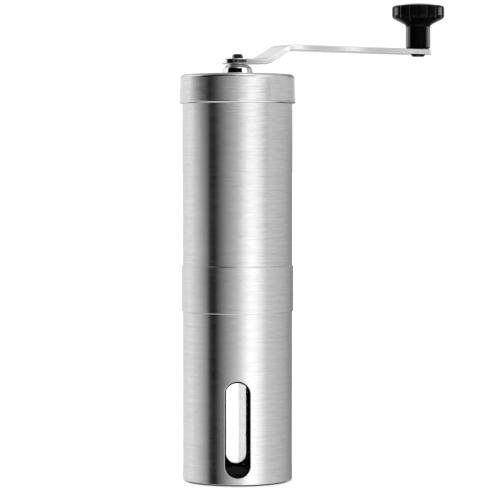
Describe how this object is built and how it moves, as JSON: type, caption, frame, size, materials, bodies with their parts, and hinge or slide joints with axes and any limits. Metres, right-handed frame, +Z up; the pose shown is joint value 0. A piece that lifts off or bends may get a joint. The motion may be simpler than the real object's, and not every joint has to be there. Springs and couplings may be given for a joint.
{
  "type": "hand crank coffee grinder",
  "caption": "Slim cylindrical hand coffee grinder of brushed steel with a windowed catch chamber, lift-off lid, cranked steel arm and black fluted knob.",
  "frame": {"origin": "centre of the foot pad's underside, on the shaft axis", "axes": "+Z up along the shaft axis, -Y out of the front window, the crank at rest 34 degrees from +X towards +Y"},
  "size_m": [0.1263, 0.098, 0.2225],
  "materials": {
    "steel_brushed": "fine brush lines round the tube, satin",
    "steel_polished": "polished",
    "steel_plain": "plain turned steel",
    "plastic_black": "satin moulded",
    "plastic_white": "satin moulded",
    "knob_black": "semi-gloss moulded",
    "plastic_clear": "clear sheet",
    "ceramic_white": "fired, matt",
    "brass": "turned",
    "rubber_black": "soft matt"
  },
  "bodies": {
    "chamber": {"lower_shell": "steel_brushed", "chamber_liner": "plastic_black", "window_sleeve": "plastic_clear", "base_pad": "rubber_black"},
    "grinder_body": {"hopper_tube": "steel_brushed", "burr_housing": "plastic_black", "outer_burr": "ceramic_white", "shaft_bush": "brass"},
    "rotor": {"drive_shaft": "steel_plain", "shaft_clip": "steel_plain", "thrust_washer": "steel_plain", "burr_spring": "steel_plain"},
    "burr": {"inner_burr": "ceramic_white", "burr_carrier": "plastic_black"},
    "adjuster": {"adjuster_wheel": "plastic_black", "adjuster_nut": "brass"},
    "lid": {"lid_shell": "steel_brushed", "lid_insert": "plastic_black", "lid_bush": "plastic_white"},
    "collar": {"crank_collar": "steel_polished", "collar_clip": "steel_plain"},
    "crank": {"crank_arm": "steel_polished", "knob_pin": "steel_plain", "knob_washer": "steel_plain", "knob_clip": "steel_plain"},
    "knob": {"knob": "knob_black", "knob_cap": "knob_black"}
  },
  "joints": [
    {"name": "body_lift", "type": "slide", "parent": "chamber", "child": "grinder_body", "axis": [0, 0, 1], "range_m": [0, 0.06]},
    {"name": "shaft_turn", "type": "hinge", "parent": "grinder_body", "child": "rotor", "pos_m": [0, 0, 0.12], "axis": [0, 0, 1], "continuous": true},
    {"name": "burr_gap", "type": "slide", "parent": "rotor", "child": "burr", "axis": [0, 0, -1], "range_m": [0, 0.00121], "deforming": ["burr_spring"]},
    {"name": "adjuster_turn", "type": "hinge", "parent": "burr", "child": "adjuster", "pos_m": [0, 0, 0.081], "axis": [0, 0, -1], "range_deg": [0, 540]},
    {"name": "lid_lift", "type": "slide", "parent": "grinder_body", "child": "lid", "axis": [0, 0, 1], "range_m": [0, 0.045]},
    {"name": "crank_turn", "type": "hinge", "parent": "lid", "child": "collar", "pos_m": [0, 0, 0.186], "axis": [0, 0, 1], "continuous": true},
    {"name": "crank_lift", "type": "slide", "parent": "collar", "child": "crank", "axis": [0, 0, 1], "range_m": [0, 0.03]},
    {"name": "knob_spin", "type": "hinge", "parent": "crank", "child": "knob", "pos_m": [0.08713, 0.05877, 0.21], "axis": [0, 0, 1], "continuous": true}
  ],
  "couplings": [
    {"joint": "shaft_turn", "follows": "crank_turn", "ratio": 1},
    {"joint": "burr_gap", "follows": "adjuster_turn", "m_per_rad": 0.00012732}
  ]
}
